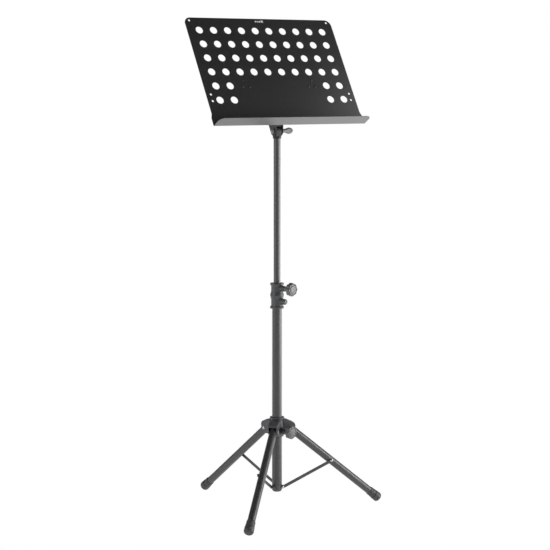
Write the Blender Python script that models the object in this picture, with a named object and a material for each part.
"""Orchestra music stand: a perforated steel desk on a telescopic column with a folding tripod.

Metres, +Z up. The desk faces -Y with +X to its right. The origin lies on the floor, under the
middle of the stand's outline. The stand is spread, with its column part way up and its desk
leaning back.
"""

import math

import bmesh
import bpy
from mathutils import Matrix, Vector

# ---- driving dimensions -------------------------------------------------------------------
GAP = 0.0003                      # clearance between pieces that touch

# Column, about its own axis
COLUMN_X, COLUMN_Y = -0.0302, -0.0411
COLUMN_R, COLUMN_WALL = 0.0145, 0.0015
COLUMN_BOTTOM, COLUMN_TOP = 0.0700, 0.6280
MAST_R, MAST_WALL = 0.0100, 0.0015
MAST_BOTTOM, MAST_TOP = 0.5230, 1.0830
BUSH_DROP, BUSH_SPIGOT = 0.0230, 0.0250
CAP_R, CAP_SKIRT, CAP_TOP = 0.0121, 0.0045, 0.0026

# Height collar on top of the column
COLLAR_BOTTOM, COLLAR_TOP = 0.5900, 0.6635
COLLAR_R, COLLAR_RIM_R, COLLAR_RIDGE_Z = 0.0174, 0.0202, 0.6280
CLAMP_AZIMUTH = math.radians(-74.0)
HEIGHT_KNOB_Z, COLLAR_BOLT_Z = 0.6489, 0.6110
COLLAR_BOSS_R, COLLAR_BOSS_END = 0.0082, 0.0300
BOLT_BOSS_R, BOLT_BOSS_END = 0.0086, 0.0315

# Clamp knobs, measured out from the column's axis
KNOB_START, KNOB_NECK_R, KNOB_R = 0.0313, 0.0076, 0.0184
KNOB_LOBES, KNOB_LOBE_DEPTH = 8, 0.055
STUD_R, STUD_END, BORE_CLEARANCE = 0.0039, 0.0508, 0.0004
NUT_R, NUT_START, NUT_END = 0.0065, 0.0223, 0.0297
PAD_THICKNESS = 0.0023

# Tripod: the hub's leg pivots, the legs and their struts
LEG_AZIMUTHS = [math.radians(-15.7 + 120.0 * turn) for turn in range(3)]
LEG_SPREAD = math.radians(50.25)  # each leg from the vertical
LEG_PIVOT_R, LEG_R, LEG_WALL = 0.0410, 0.0112, 0.0015
LEG_TOP, LEG_END = 0.0090, 0.3460
FOOT_START, FOOT_LENGTH = 0.3160, 0.0400
STRUT_PIVOT_R, STRUT_PIVOT_Z = 0.0142, 0.0645
STRUT_ON_LEG = 0.1581             # from the leg's pivot down to the strut's rivet
PIN_R, PIN_HEAD_R, PIN_END, LUG_INNER = 0.0020, 0.0042, 0.0040, 0.0015
STRUT_SIDE, STRUT_THICKNESS, STRUT_WIDTH = 0.0115, 0.0025, 0.0090

# Hub: heights from the leg pivots
HUB_BORE_R, HUB_R, HUB_BOTTOM, HUB_TOP = 0.0148, 0.0200, -0.0210, 0.0360
HUB_KNOB_DROP, HUB_KNOB_AZIMUTH = 0.0020, math.radians(-75.7)
ARM_HALF_WIDTH, SLOT_HALF_WIDTH = 0.0142, 0.0116
PIVOT_RIVET_R, PIVOT_HEAD_R = 0.0030, 0.0048

# Desk: measured from its tilt bolt, before it leans
TILT_Z, DESK_LEAN = 1.1000, math.radians(31.25)
SHEET = 0.0012
DESK_FACE_Y = -0.0763             # the front of the panel
DESK_HALF_WIDTH, DESK_TOP, DESK_CORNER_R = 0.2440, 0.3269, 0.0200
TRAY_UNDERSIDE, TRAY_DEPTH = -0.0240, 0.0430
TRAY_HALF_WIDTH, TRAY_CORNER_R, FOLD_R = 0.2485, 0.0180, 0.0012
FLARE_START, FLARE_END = 0.0175, -0.0015
HOLE_PITCH, HOLE_R, FIRST_ROW_Z = 0.0455, 0.0111, 0.2855
HOLE_COLUMNS, FULL_ROWS, SHORT_ROWS = 10, 4, 2
CLIP_HOLE_R, CLIP_HOLE_X = 0.0032, 0.2285
CLIP_HOLE_ZS = (0.3173, 0.0762, 0.0553)
RIVET_PLACES = ((0.1130, 0.1215), (0.0980, 0.1005), (0.1200, 0.1005))
RIVET_R, RIVET_HEAD_R = 0.0020, 0.0036
PLATE_THICKNESS, PLATE_HALF_WIDTH = 0.0018, 0.1290
PLATE_BOTTOM, PLATE_TOP, PLATE_CORNER_R = 0.0865, 0.1345, 0.0120

# Tilt joint between the desk's fork and the mast's head
FORK_INNER, FORK_THICKNESS, FORK_LOBE_R = 0.0106, 0.0020, 0.0140
FORK_BASE_BOTTOM, FORK_BASE_TOP, FORK_REAR_TOP = 0.0905, 0.1305, 0.0600
TONGUE_HALF_WIDTH, TONGUE_R, TONGUE_DEPTH = 0.0089, 0.0120, 0.0095
TILT_BOLT_R, TILT_BOLT_END, BOLT_HEAD_R = 0.0030, 0.0290, 0.0072
PADDLE_START, PADDLE_END, PADDLE_HALF_WIDTH = 0.0146, 0.0530, 0.0092

# ---- worked out from them -----------------------------------------------------------------
FOOT_END = FOOT_START + FOOT_LENGTH
STEEL_BORE_R = TILT_BOLT_R + BORE_CLEARANCE


def foot_profile():
    """(distance down the leg, radius) of the rubber foot's outside, top to tip."""
    top, end = FOOT_START, FOOT_END
    return [
        (top, 0.0121), (top + 0.0015, 0.0126), (top + 0.0080, 0.0128),
        (top + 0.0150, 0.0133), (top + 0.0170, 0.0134), (top + 0.0178, 0.0125),
        (top + 0.0192, 0.0125), (top + 0.0202, 0.0138), (end - 0.0070, 0.0143),
        (end - 0.0035, 0.0133), (end - 0.0010, 0.0105), (end, 0.0075),
    ]


# The feet rest on the floor, which sets the height of the leg pivots.
PIVOT_Z = max(
    down * math.cos(LEG_SPREAD) + radius * math.sin(LEG_SPREAD)
    for down, radius in foot_profile()
)
STRUT_TO = Vector((
    LEG_PIVOT_R + STRUT_ON_LEG * math.sin(LEG_SPREAD),
    PIVOT_Z - STRUT_ON_LEG * math.cos(LEG_SPREAD),
))
STRUT_FROM = Vector((STRUT_PIVOT_R, STRUT_PIVOT_Z))
STRUT_LENGTH = (STRUT_TO - STRUT_FROM).length
STRUT_RISE = math.atan2(STRUT_TO.y - STRUT_FROM.y, STRUT_TO.x - STRUT_FROM.x)
HUB_KNOB_Z = PIVOT_Z - HUB_KNOB_DROP


# ---- scene and materials ------------------------------------------------------------------
def clear_scene():
    for obj in list(bpy.data.objects):
        bpy.data.objects.remove(obj, do_unlink=True)


def make_material(name, colour, roughness, metallic=0.0):
    material = bpy.data.materials.new(name)
    material.use_nodes = True
    shader = material.node_tree.nodes["Principled BSDF"]
    shader.inputs["Base Color"].default_value = (*colour, 1.0)
    shader.inputs["Roughness"].default_value = roughness
    shader.inputs["Metallic"].default_value = metallic
    return material


def make_axis(name, location, rotation=(0.0, 0.0, 0.0), parent=None):
    """An empty that carries the pieces of one joint or frame."""
    axis = bpy.data.objects.new(name, None)
    bpy.context.scene.collection.objects.link(axis)
    axis.parent = parent
    axis.location = location
    axis.rotation_euler = rotation
    return axis


def make_piece(name, bm, material, parent, location=(0.0, 0.0, 0.0), rotation=(0.0, 0.0, 0.0)):
    mesh = bpy.data.meshes.new(name)
    bm.to_mesh(mesh)
    bm.free()
    piece = bpy.data.objects.new(name, mesh)
    bpy.context.scene.collection.objects.link(piece)
    piece.parent = parent
    piece.location = location
    piece.rotation_euler = rotation
    if material:
        mesh.materials.append(material)
    mesh.shade_smooth()
    mesh.set_sharp_from_angle(angle=math.radians(35.0))
    return piece


def boolean(piece, operation, bm, label):
    """Joins or cuts a piece with a hidden helper in the piece's own frame."""
    helper = make_piece(f"{piece.name}_{label}", bm, None, piece)
    helper.hide_render = True
    helper.display_type = "WIRE"
    modifier = piece.modifiers.new(label, "BOOLEAN")
    modifier.operation = operation
    modifier.solver = "EXACT"
    modifier.object = helper


# ---- shapes -------------------------------------------------------------------------------
def turned(profile, steps=24, ring=False):
    """Spins (radius, height) points about Z. A ring's profile is a closed loop."""
    bm = bmesh.new()
    verts = [bm.verts.new((radius, 0.0, height)) for radius, height in profile]
    pairs = list(zip(verts, verts[1:]))
    if ring:
        pairs.append((verts[-1], verts[0]))
    edges = [bm.edges.new(pair) for pair in pairs]
    bmesh.ops.spin(bm, geom=verts + edges, cent=(0, 0, 0), axis=(0, 0, 1),
                   angle=math.tau, steps=steps, use_merge=True)
    bmesh.ops.remove_doubles(bm, verts=bm.verts, dist=1e-6)
    bmesh.ops.recalc_face_normals(bm, faces=bm.faces)
    return bm


def tube(inner, outer, low, high, steps=24):
    return turned([(inner, low), (outer, low), (outer, high), (inner, high)], steps, ring=True)


def rod(radius, low, high, steps=16):
    return turned([(0, low), (radius, low), (radius, high), (0, high)], steps)


def arc(centre, radius, start, end, steps):
    """Points on an arc, with its angles in degrees."""
    angles = [math.radians(start + (end - start) * step / steps) for step in range(steps + 1)]
    return [(centre[0] + radius * math.cos(a), centre[1] + radius * math.sin(a)) for a in angles]


def prism(outline, low, high):
    """An outline in the XZ plane, extruded along Y."""
    bm = bmesh.new()
    face = bm.faces.new([bm.verts.new((x, low, z)) for x, z in outline])
    grown = bmesh.ops.extrude_face_region(bm, geom=[face])
    moved = [v for v in grown["geom"] if isinstance(v, bmesh.types.BMVert)]
    bmesh.ops.translate(bm, verts=moved, vec=(0, high - low, 0))
    bmesh.ops.recalc_face_normals(bm, faces=bm.faces)
    return bm


def block(low, high):
    outline = [(low[0], low[2]), (high[0], low[2]), (high[0], high[2]), (low[0], high[2])]
    return prism(outline, low[1], high[1])


def moved(bm, matrix):
    bmesh.ops.transform(bm, matrix=matrix, verts=bm.verts)
    if matrix.to_3x3().determinant() < 0:
        bmesh.ops.reverse_faces(bm, faces=bm.faces)
    return bm


def joined(meshes):
    """Puts separate solids into one mesh."""
    whole = bmesh.new()
    for bm in meshes:
        mesh = bpy.data.meshes.new("part")
        bm.to_mesh(mesh)
        bm.free()
        whole.from_mesh(mesh)
        bpy.data.meshes.remove(mesh)
    return whole


def along_x(bm, x=0.0, y=0.0, z=0.0):
    """Lays a turned piece along +X."""
    return moved(bm, Matrix.Translation((x, y, z)) @ Matrix.Rotation(math.pi / 2, 4, "Y"))


def along_y(bm, x=0.0, y=0.0, z=0.0):
    """Lays a turned piece along +Y."""
    return moved(bm, Matrix.Translation((x, y, z)) @ Matrix.Rotation(-math.pi / 2, 4, "X"))


def outwards(bm, azimuth, z):
    """Lays a turned piece along the column's radius at an azimuth and height."""
    turn = Matrix.Rotation(azimuth, 4, "Z") @ Matrix.Rotation(math.pi / 2, 4, "Y")
    return moved(bm, Matrix.Translation((0, 0, z)) @ turn)


def rivet(radius, head_radius, shank_low, shank_high, head, tail_radius=None):
    """A rivet along Z: a shank with a domed head above and, if asked, a tail below."""
    low = [(0, shank_low), (radius, shank_low)]
    if tail_radius:
        low = [(0, shank_low - head), (tail_radius * 0.7, shank_low - head),
               (tail_radius, shank_low - head * 0.4), (tail_radius, shank_low), (radius, shank_low)]
    high = [(radius, shank_high), (head_radius, shank_high), (head_radius, shank_high + head * 0.4),
            (head_radius * 0.7, shank_high + head), (0, shank_high + head)]
    return turned(low + high, 12)


# ---- desk ---------------------------------------------------------------------------------
def desk_stations():
    """(front point, back point, half width) along the folded sheet, from tray lip to top edge."""
    stations = []
    lip_y = DESK_FACE_Y - TRAY_DEPTH
    upper = TRAY_UNDERSIDE + SHEET
    for _, along in arc((0, 0), 1.0, 0, 90, 6):
        depth = TRAY_CORNER_R * (1 - math.sqrt(1 - along * along))
        width = TRAY_HALF_WIDTH - TRAY_CORNER_R * (1 - along)
        y = lip_y + depth
        stations.append(((y, upper), (y, TRAY_UNDERSIDE), width))
    centre = (DESK_FACE_Y - FOLD_R, upper + FOLD_R)
    inside = arc(centre, FOLD_R, -90, 0, 4)
    outside = arc(centre, FOLD_R + SHEET, -90, 0, 4)
    stations += [(a, b, TRAY_HALF_WIDTH) for a, b in zip(inside, outside)]
    back = DESK_FACE_Y + SHEET
    for step in range(5):
        share = step / 4
        z = FLARE_END + (FLARE_START - FLARE_END) * share
        ease = share * share * (3 - 2 * share)
        width = TRAY_HALF_WIDTH + (DESK_HALF_WIDTH - TRAY_HALF_WIDTH) * ease
        stations.append(((DESK_FACE_Y, z), (back, z), width))
    corner = (DESK_HALF_WIDTH - DESK_CORNER_R, DESK_TOP - DESK_CORNER_R)
    for width, z in arc(corner, DESK_CORNER_R, 0, 90, 6):
        stations.append(((DESK_FACE_Y, z), (back, z), width))
    return stations


def folded_sheet(stations):
    bm = bmesh.new()
    rows = []
    for front, back, width in stations:
        places = ((-width, *front), (width, *front), (width, *back), (-width, *back))
        rows.append([bm.verts.new(place) for place in places])
    for near, far in zip(rows, rows[1:]):
        for side in range(4):
            after = (side + 1) % 4
            bm.faces.new((near[side], near[after], far[after], far[side]))
    bm.faces.new(rows[0])
    bm.faces.new(rows[-1])
    bmesh.ops.recalc_face_normals(bm, faces=bm.faces)
    return bm


def page_holes():
    """(x, z) of the large holes: full rows above, and only the outer two each side below."""
    centre = (HOLE_COLUMNS - 1) / 2
    places = []
    for row in range(FULL_ROWS + SHORT_ROWS):
        for column in range(HOLE_COLUMNS):
            inner = 2 <= column < HOLE_COLUMNS - 2
            if row < FULL_ROWS or not inner:
                places.append(((column - centre) * HOLE_PITCH, FIRST_ROW_Z - row * HOLE_PITCH))
    return places


def rivet_places():
    return [(side * x, z) for side in (-1, 1) for x, z in RIVET_PLACES]


def drill(places, radius, y_low, y_high, steps):
    return [along_y(rod(radius, y_low, y_high, steps), x, 0, z) for x, z in places]


def make_desk(tilt_axis, paint):
    panel = make_piece("desk_panel", folded_sheet(desk_stations()), paint, tilt_axis)
    near, far = DESK_FACE_Y - 0.005, DESK_FACE_Y + 0.006
    clips = [(side * CLIP_HOLE_X, z) for side in (-1, 1) for z in CLIP_HOLE_ZS]
    holes = drill(page_holes(), HOLE_R, near, far, 16)
    holes += drill(clips, CLIP_HOLE_R, near, far, 8)
    holes += drill(rivet_places(), RIVET_R + GAP, near, far, 12)
    boolean(panel, "DIFFERENCE", joined(holes), "holes")


def make_back_plate(tilt_axis, paint):
    near = DESK_FACE_Y + SHEET + GAP
    x, r = PLATE_HALF_WIDTH - PLATE_CORNER_R, PLATE_CORNER_R
    low, high = PLATE_BOTTOM + r, PLATE_TOP - r
    outline = arc((x, low), r, -90, 0, 5) + arc((x, high), r, 0, 90, 5)
    outline += arc((-x, high), r, 90, 180, 5) + arc((-x, low), r, 180, 270, 5)
    plate = make_piece("back_plate", prism(outline, near, near + PLATE_THICKNESS), paint, tilt_axis)
    holes = drill(rivet_places(), RIVET_R + GAP, near - 0.002, near + 0.005, 12)
    boolean(plate, "DIFFERENCE", joined(holes), "rivet_holes")

    front, back = DESK_FACE_Y - GAP, near + PLATE_THICKNESS + GAP
    for number, (x, z) in enumerate(rivet_places(), start=1):
        pin = rivet(RIVET_R, RIVET_HEAD_R, -back, -front, 0.0010, RIVET_HEAD_R)
        make_piece(f"desk_rivet_{number}", pin, paint, tilt_axis, (x, 0, z), (math.pi / 2, 0, 0))


def fork_outline():
    """The fork's cheek in the YZ plane: a lobe round the bolt, reaching up to the plate."""
    base_y = DESK_FACE_Y + SHEET + PLATE_THICKNESS + 2 * GAP
    lobe = arc((0, 0), FORK_LOBE_R, 0, -(180 - math.degrees(DESK_LEAN)), 12)
    return lobe + [(base_y, FORK_BASE_BOTTOM), (base_y, FORK_BASE_TOP),
                   (base_y + 0.012, FORK_BASE_TOP), (FORK_LOBE_R, FORK_REAR_TOP)]


def make_fork(tilt_axis, paint):
    base_y = DESK_FACE_Y + SHEET + PLATE_THICKNESS + 2 * GAP
    outer = FORK_INNER + FORK_THICKNESS
    base = block((-outer, base_y, FORK_BASE_BOTTOM),
                 (outer, base_y + FORK_THICKNESS, FORK_BASE_TOP))
    fork = make_piece("tilt_fork", base, paint, tilt_axis)
    quarter = Matrix.Rotation(math.pi / 2, 4, "Z")
    cheeks = []
    for inner in (FORK_INNER, -outer):
        cheek = moved(prism(fork_outline(), -inner - FORK_THICKNESS, -inner), quarter)
        cheeks.append(cheek)
    boolean(fork, "UNION", joined(cheeks), "cheeks")
    boolean(fork, "DIFFERENCE", along_x(rod(STEEL_BORE_R, -0.02, 0.02, 20)), "bore")


def make_tilt_fasteners(tilt_axis, steel, nylon):
    low, high = TONGUE_HALF_WIDTH + GAP, FORK_INNER - GAP
    for side, start, end in (("right", low, high), ("left", -high, -low)):
        washer = along_x(tube(STEEL_BORE_R, 0.0090, start, end, 24))
        make_piece(f"friction_washer_{side}", washer, nylon, tilt_axis)

    outer = FORK_INNER + FORK_THICKNESS + GAP
    washer = along_x(tube(STEEL_BORE_R, 0.0075, outer, PADDLE_START - GAP, 24))
    make_piece("tilt_steel_washer", washer, steel, tilt_axis)

    head = -outer
    bolt = turned([
        (0, head - 0.0042), (0.0030, head - 0.0040), (0.0056, head - 0.0029),
        (BOLT_HEAD_R, head - 0.0012), (BOLT_HEAD_R, head), (TILT_BOLT_R, head),
        (TILT_BOLT_R, TILT_BOLT_END), (0, TILT_BOLT_END)], 16)
    make_piece("tilt_bolt", along_x(bolt), steel, tilt_axis)


def paddle_mesh():
    """The tilt screw's grip along X: a round neck that spreads into a flat oval paddle."""
    stations = [
        (PADDLE_START, 0.0062, 0.0062), (PADDLE_START + 0.0070, 0.0060, 0.0060),
        (0.0245, 0.0056, 0.0050), (0.0280, 0.0066, 0.0038), (0.0320, 0.0082, 0.0032),
        (0.0370, PADDLE_HALF_WIDTH, 0.0030), (0.0420, 0.0091, 0.0030),
        (0.0465, 0.0080, 0.0029), (0.0500, 0.0060, 0.0027), (0.0520, 0.0036, 0.0022),
        (PADDLE_END, 0.0012, 0.0010),
    ]
    steps = 16
    bm = bmesh.new()
    rows = []
    for x, half_width, half_depth in stations:
        ring = []
        for step in range(steps):
            angle = math.tau * step / steps
            place = (x, half_depth * math.cos(angle), half_width * math.sin(angle))
            ring.append(bm.verts.new(place))
        rows.append(ring)
    for near, far in zip(rows, rows[1:]):
        for step in range(steps):
            after = (step + 1) % steps
            bm.faces.new((near[step], near[after], far[after], far[step]))
    bm.faces.new(rows[0])
    bm.faces.new(rows[-1])
    bmesh.ops.recalc_face_normals(bm, faces=bm.faces)
    return bm


def make_tilt_knob(tilt_axis, plastic):
    # The desk leans, and the paddle's flat sides stay upright.
    knob = make_piece("tilt_knob", paddle_mesh(), plastic, tilt_axis, rotation=(DESK_LEAN, 0, 0))
    bore = along_x(rod(STEEL_BORE_R, PADDLE_START - 0.002, TILT_BOLT_END + GAP, 20))
    boolean(knob, "DIFFERENCE", bore, "bore")


# ---- mast ---------------------------------------------------------------------------------
def make_mast(column_axis, paint, plastic):
    inner = MAST_R - MAST_WALL
    mast = tube(inner, MAST_R, 0.0, MAST_TOP - MAST_BOTTOM)
    make_piece("upper_tube", mast, paint, column_axis, (0, 0, MAST_BOTTOM))

    slack = inner - GAP
    bush_r = COLUMN_R - COLUMN_WALL - GAP
    bush = turned([
        (0, -BUSH_DROP), (bush_r - 0.001, -BUSH_DROP), (bush_r, -BUSH_DROP + 0.001),
        (bush_r, -GAP), (slack, -GAP), (slack, BUSH_SPIGOT), (0, BUSH_SPIGOT)])
    make_piece("guide_bush", bush, plastic, column_axis, (0, 0, MAST_BOTTOM))

    skirt = MAST_R + GAP
    plug = turned([
        (0, -0.0330), (slack, -0.0330), (slack, GAP), (skirt, GAP), (skirt, -CAP_SKIRT),
        (CAP_R, -CAP_SKIRT), (CAP_R, CAP_TOP - 0.0010), (CAP_R - 0.0010, CAP_TOP), (0, CAP_TOP)])
    head = make_piece("mast_head", plug, plastic, column_axis, (0, 0, MAST_TOP))
    rise = TILT_Z - MAST_TOP
    outline = [(-TONGUE_DEPTH, 0.0010), (TONGUE_DEPTH, 0.0010)]
    outline += arc((0, rise), TONGUE_R, -15, 195, 14)
    quarter = Matrix.Rotation(math.pi / 2, 4, "Z")
    tongue = moved(prism(outline, -TONGUE_HALF_WIDTH, TONGUE_HALF_WIDTH), quarter)
    boolean(head, "UNION", tongue, "tongue")
    bore = along_x(rod(STEEL_BORE_R, -0.012, 0.012, 20), z=rise)
    boolean(head, "DIFFERENCE", bore, "bore")


# ---- clamp knobs --------------------------------------------------------------------------
def knob_mesh():
    """A lobed knob along Z, its neck towards the column, with a sunk ring in its face."""
    bore_end = STUD_END + GAP
    bore_r = STUD_R + GAP
    # radius, distance from the column's axis, share of the lobes
    stations = [
        (0.0, bore_end, 0), (bore_r, bore_end, 0), (bore_r, KNOB_START, 0),
        (KNOB_NECK_R, KNOB_START, 0), (KNOB_NECK_R, 0.0450, 0), (0.0100, 0.0470, 0),
        (KNOB_R - 0.0020, 0.0488, 0.8), (KNOB_R, 0.0508, 1), (KNOB_R, 0.0602, 1),
        (KNOB_R - 0.0016, 0.0632, 1), (0.0146, 0.0638, 0.4), (0.0136, 0.0624, 0),
        (0.0116, 0.0624, 0), (0.0106, 0.0638, 0), (0.0, 0.0644, 0),
    ]
    steps = KNOB_LOBES * 4
    bm = bmesh.new()
    rows = []
    for radius, out, lobes in stations:
        ring = []
        for step in range(steps if radius else 1):
            angle = math.tau * step / steps
            wave = 1 + lobes * KNOB_LOBE_DEPTH * math.cos(KNOB_LOBES * angle)
            place = (radius * wave * math.cos(angle), radius * wave * math.sin(angle), out)
            ring.append(bm.verts.new(place))
        rows.append(ring)
    for near, far in zip(rows, rows[1:]):
        for step in range(steps):
            after = (step + 1) % steps
            corners = [near[step % len(near)], near[after % len(near)],
                       far[after % len(far)], far[step % len(far)]]
            bm.faces.new(list(dict.fromkeys(corners)))
    bmesh.ops.recalc_face_normals(bm, faces=bm.faces)
    return bm


def clamp_cutter(start, azimuth, z):
    """The stud's bore through a boss, with the wider pocket for its insert nut."""
    bore = outwards(rod(STUD_R + BORE_CLEARANCE, start, 0.0400), azimuth, z)
    pocket = outwards(rod(NUT_R + GAP, NUT_START - GAP, 0.0400), azimuth, z)
    return bore, pocket


def make_clamp(name, column_axis, azimuth, z, grip_r, plastic, steel, brass):
    """Knob, stud, insert nut and pressure pad that clamp a tube of radius grip_r."""
    turn = (0, math.pi / 2, azimuth)
    axis = make_axis(f"{name}_knob_axis", (0, 0, z), turn, column_axis)
    make_piece(f"{name}_knob", knob_mesh(), plastic, axis)
    pad_end = grip_r + GAP + PAD_THICKNESS
    make_piece(f"{name}_knob_stud", rod(STUD_R, pad_end + GAP, STUD_END, 16), steel, axis)
    nut = tube(STUD_R + BORE_CLEARANCE, NUT_R, NUT_START, NUT_END, 16)
    make_piece(f"{name}_insert_nut", nut, brass, axis)
    make_piece(f"{name}_pressure_pad", rod(STUD_R - 0.0001, grip_r + GAP, pad_end, 16), brass, axis)


# ---- column -------------------------------------------------------------------------------
def make_column(column_axis, paint):
    inner = COLUMN_R - COLUMN_WALL
    length = COLUMN_TOP - COLUMN_BOTTOM
    column = make_piece("column_tube", tube(inner, COLUMN_R, 0, length), paint, column_axis,
                        (0, 0, COLUMN_BOTTOM))
    hole = outwards(rod(STEEL_BORE_R, 0.0090, 0.0160, 16), CLAMP_AZIMUTH,
                    COLLAR_BOLT_Z - COLUMN_BOTTOM)
    boolean(column, "DIFFERENCE", hole, "bolt_hole")


def make_collar(column_axis, plastic, steel):
    rim, body, ridge = COLLAR_RIM_R, COLLAR_R, COLLAR_RIDGE_Z
    low, high = COLLAR_BOTTOM, COLLAR_TOP
    wide, narrow = COLUMN_R + GAP, MAST_R + GAP
    step = COLUMN_TOP + GAP
    collar = make_piece("height_collar", turned([
        (wide, low), (rim - 0.0008, low), (rim, low + 0.0008), (rim, low + 0.0036),
        (body + 0.0008, low + 0.0066), (body, low + 0.0100), (body, ridge - 0.0110),
        (rim - 0.0006, ridge - 0.0018), (rim, ridge), (rim - 0.0006, ridge + 0.0018),
        (body, ridge + 0.0110), (body, high - 0.0100), (body + 0.0008, high - 0.0066),
        (rim, high - 0.0036), (rim, high - 0.0008), (rim - 0.0008, high),
        (narrow, high), (narrow, step), (wide, step)], 28, ring=True), plastic, column_axis)
    bosses = [
        outwards(rod(COLLAR_BOSS_R, 0.0120, COLLAR_BOSS_END, 20), CLAMP_AZIMUTH, HEIGHT_KNOB_Z),
        outwards(rod(BOLT_BOSS_R, 0.0155, BOLT_BOSS_END, 20), CLAMP_AZIMUTH, COLLAR_BOLT_Z),
    ]
    boolean(collar, "UNION", joined(bosses), "bosses")
    bore, pocket = clamp_cutter(0.0085, CLAMP_AZIMUTH, HEIGHT_KNOB_Z)
    screw = outwards(rod(STEEL_BORE_R, 0.0120, BOLT_BOSS_END + 0.0020, 16), CLAMP_AZIMUTH,
                     COLLAR_BOLT_Z)
    boolean(collar, "DIFFERENCE", joined([bore, screw]), "bores")
    boolean(collar, "DIFFERENCE", pocket, "nut_pocket")

    head = BOLT_BOSS_END + GAP
    bolt = turned([
        (0, 0.0105), (0.0030, 0.0105), (0.0030, head), (0.0079, head), (0.0079, head + 0.0014),
        (0.0068, head + 0.0034), (0.0040, head + 0.0046), (0, head + 0.0050)], 24)
    screw = make_piece("collar_screw", outwards(bolt, CLAMP_AZIMUTH, COLLAR_BOLT_Z), steel,
                       column_axis)
    slot = block((-0.0044, -0.0008, head + 0.0026), (0.0044, 0.0008, head + 0.0080))
    boolean(screw, "DIFFERENCE", outwards(slot, CLAMP_AZIMUTH, COLLAR_BOLT_Z), "slot")


def lug_outline():
    """A base lug in its leg's plane, round the strut's pin."""
    pin = (STRUT_PIVOT_R, STRUT_PIVOT_Z)
    low, high = STRUT_PIVOT_Z - 0.0050, COLUMN_BOTTOM - GAP
    return [(0.0080, high), (0.0080, low)] + arc(pin, 0.0050, -90, 90, 8) + [(pin[0], high)]


def make_base(column_axis, tripod_axes, plastic, steel):
    inner = COLUMN_R - COLUMN_WALL - GAP
    top = COLUMN_BOTTOM - GAP
    plug = turned([
        (0, top - 0.0190), (0.0103, top - 0.0190), (0.0129, top - 0.0172), (0.0143, top - 0.0140),
        (0.0147, top - 0.0090), (0.0147, top), (inner, top), (inner, top + 0.0240),
        (inner - 0.0012, top + 0.0255), (0, top + 0.0255)])
    base = make_piece("base_fitting", plug, plastic, column_axis)
    lugs, holes = [], []
    for azimuth in LEG_AZIMUTHS:
        spin = Matrix.Rotation(azimuth, 4, "Z")
        lugs.append(moved(prism(lug_outline(), GAP - STRUT_SIDE, -LUG_INNER), spin))
        place = spin @ Matrix.Translation((STRUT_PIVOT_R, 0, STRUT_PIVOT_Z))
        hole = along_y(rod(PIN_R + GAP, -0.0140, GAP - PIN_END, 12))
        holes.append(moved(hole, place))
    boolean(base, "UNION", joined(lugs), "lugs")
    boolean(base, "DIFFERENCE", joined(holes), "pin_holes")
    outer = STRUT_SIDE + STRUT_THICKNESS + GAP
    for number, tripod_axis in enumerate(tripod_axes, start=1):
        pin = rivet(PIN_R, PIN_HEAD_R, PIN_END, outer, 0.0017)
        make_piece(f"base_rivet_{number}", pin, steel, tripod_axis,
                   (STRUT_PIVOT_R, 0, STRUT_PIVOT_Z), (math.pi / 2, 0, 0))


# ---- tripod -------------------------------------------------------------------------------
def arm_outline():
    """An arm of the hub in its leg's plane, heights from the leg's pivot."""
    return [(0.0155, 0.0275), (0.0155, -0.0155), (0.0340, -0.0155), (0.0375, -0.0140),
            (0.0500, -0.0050), (0.0520, -0.0010)] + arc((0.0475, 0.0115), 0.0060, -10, 65, 5) + [
            (0.0440, 0.0205), (0.0290, 0.0275)]


def slot_outline():
    return [(0.0245, -0.0300), (0.0620, -0.0300), (0.0620, 0.0085), (0.0300, 0.0225),
            (0.0245, 0.0225)]


def make_hub(column_axis, tripod_axes, plastic, steel):
    bore, body, low, high = HUB_BORE_R, HUB_R, HUB_BOTTOM, HUB_TOP
    hub = make_piece("leg_hub", turned([
        (bore, low), (body - 0.0014, low), (body - 0.0004, low + 0.0012), (body, low + 0.0140),
        (body, 0.0240), (body - 0.0012, 0.0256), (body - 0.0012, high - 0.0062),
        (body + 0.0013, high - 0.0042), (body + 0.0013, high - 0.0010), (body + 0.0003, high),
        (bore, high)], 28, ring=True), plastic, column_axis, (0, 0, PIVOT_Z))
    arms, slots = [], []
    for azimuth in LEG_AZIMUTHS:
        spin = Matrix.Rotation(azimuth, 4, "Z")
        arms.append(moved(prism(arm_outline(), -ARM_HALF_WIDTH, ARM_HALF_WIDTH), spin))
        slots.append(moved(prism(slot_outline(), -SLOT_HALF_WIDTH, SLOT_HALF_WIDTH), spin))
    boolean(hub, "UNION", joined(arms), "arms")
    boss = outwards(rod(0.0090, 0.0160, COLLAR_BOSS_END, 20), HUB_KNOB_AZIMUTH, -HUB_KNOB_DROP)
    boolean(hub, "UNION", boss, "boss")
    boolean(hub, "DIFFERENCE", joined(slots), "slots")
    pins = []
    for azimuth in LEG_AZIMUTHS:
        place = Matrix.Rotation(azimuth, 4, "Z") @ Matrix.Translation((LEG_PIVOT_R, 0, 0))
        pins.append(moved(along_y(rod(PIVOT_RIVET_R + GAP, -0.020, 0.020, 16)), place))
    cutter, pocket = clamp_cutter(0.0120, HUB_KNOB_AZIMUTH, -HUB_KNOB_DROP)
    boolean(hub, "DIFFERENCE", joined(pins + [cutter]), "bores")
    boolean(hub, "DIFFERENCE", pocket, "nut_pocket")
    outer = ARM_HALF_WIDTH + GAP
    for number, tripod_axis in enumerate(tripod_axes, start=1):
        pin = rivet(PIVOT_RIVET_R, PIVOT_HEAD_R, -outer, outer, 0.0022, PIVOT_HEAD_R)
        make_piece(f"leg_pivot_rivet_{number}", pin, steel, tripod_axis,
                   (LEG_PIVOT_R, 0, PIVOT_Z), (math.pi / 2, 0, 0))


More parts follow.
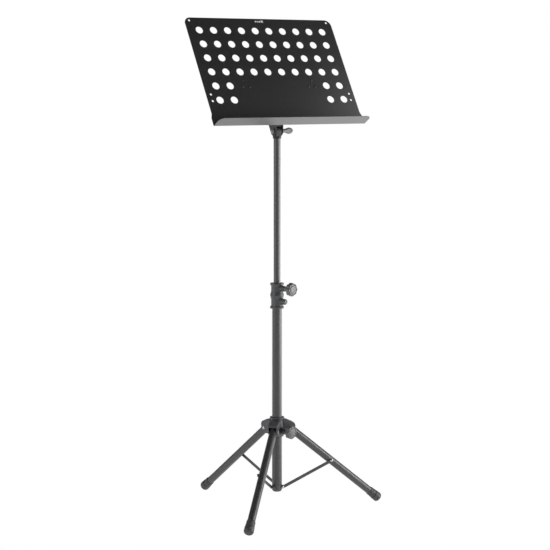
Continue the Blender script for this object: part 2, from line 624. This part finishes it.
def make_leg(number, tripod_axis, paint, rubber):
    swing = (0, -LEG_SPREAD, 0)
    place = (LEG_PIVOT_R, 0, PIVOT_Z)
    axis = make_axis(f"leg_{number}_axis", place, swing, tripod_axis)
    leg = make_piece(f"leg_tube_{number}", tube(LEG_R - LEG_WALL, LEG_R, -LEG_END, LEG_TOP),
                     paint, axis)
    hole = along_y(rod(PIVOT_RIVET_R + GAP, -0.015, 0.015, 16))
    boolean(leg, "DIFFERENCE", hole, "pivot_hole")
    pocket = LEG_R + GAP
    profile = [(radius, -down) for down, radius in foot_profile()]
    inside = [(0, -LEG_END - GAP), (pocket, -LEG_END - GAP), (pocket, -FOOT_START)]
    foot = turned(inside + profile + [(0, -FOOT_END)])
    make_piece(f"foot_{number}", foot, rubber, axis)


def make_strut(number, tripod_axis, paint, steel):
    place = (STRUT_PIVOT_R, 0, STRUT_PIVOT_Z)
    axis = make_axis(f"strut_{number}_axis", place, (0, -STRUT_RISE, 0), tripod_axis)
    half = STRUT_WIDTH / 2
    outline = arc((0, 0), half, 90, 270, 8) + arc((STRUT_LENGTH, 0), half, -90, 90, 8)
    outer = STRUT_SIDE + STRUT_THICKNESS
    strut = make_piece(f"strut_{number}", prism(outline, -outer, -STRUT_SIDE), paint, axis)
    holes = [along_y(rod(PIN_R + GAP, -outer - 0.002, -STRUT_SIDE + 0.002, 14), x)
             for x in (0, STRUT_LENGTH)]
    boolean(strut, "DIFFERENCE", joined(holes), "pin_holes")
    pin = rivet(PIN_R, PIN_HEAD_R, STRUT_SIDE + 0.0001, outer + GAP, 0.0017)
    pin = moved(pin, Matrix.Rotation(math.pi / 2, 4, "X"))
    pin = moved(pin, Matrix.Translation((STRUT_LENGTH, 0, 0)))
    make_piece(f"strut_rivet_{number}", pin, steel, axis)


# ---- the stand ----------------------------------------------------------------------------
def main():
    clear_scene()
    paint = make_material("black_powder_coat", (0.035, 0.036, 0.037), 0.42)
    plastic = make_material("charcoal_plastic", (0.045, 0.047, 0.050), 0.45)
    rubber = make_material("black_rubber", (0.030, 0.031, 0.031), 0.75)
    nylon = make_material("white_nylon", (0.62, 0.61, 0.58), 0.5)
    steel = make_material("zinc_steel", (0.45, 0.46, 0.47), 0.32, 1.0)
    brass = make_material("brass", (0.62, 0.47, 0.22), 0.35, 1.0)

    column_axis = make_axis("column_axis", (COLUMN_X, COLUMN_Y, 0))
    tripod_axes = [make_axis(f"tripod_axis_{turn + 1}", (0, 0, 0), (0, 0, azimuth), column_axis)
                   for turn, azimuth in enumerate(LEG_AZIMUTHS)]
    tilt_axis = make_axis("tilt_axis", (0, 0, TILT_Z), (-DESK_LEAN, 0, 0), column_axis)

    make_desk(tilt_axis, paint)
    make_back_plate(tilt_axis, paint)
    make_fork(tilt_axis, paint)
    make_tilt_fasteners(tilt_axis, steel, nylon)
    make_tilt_knob(tilt_axis, plastic)

    make_mast(column_axis, paint, plastic)
    make_column(column_axis, paint)
    make_collar(column_axis, plastic, steel)
    make_clamp("height", column_axis, CLAMP_AZIMUTH, HEIGHT_KNOB_Z, MAST_R, plastic, steel, brass)
    make_base(column_axis, tripod_axes, plastic, steel)

    make_hub(column_axis, tripod_axes, plastic, steel)
    make_clamp("hub", column_axis, HUB_KNOB_AZIMUTH, HUB_KNOB_Z, COLUMN_R, plastic, steel, brass)
    for number, tripod_axis in enumerate(tripod_axes, start=1):
        make_leg(number, tripod_axis, paint, rubber)
        make_strut(number, tripod_axis, paint, steel)


main()
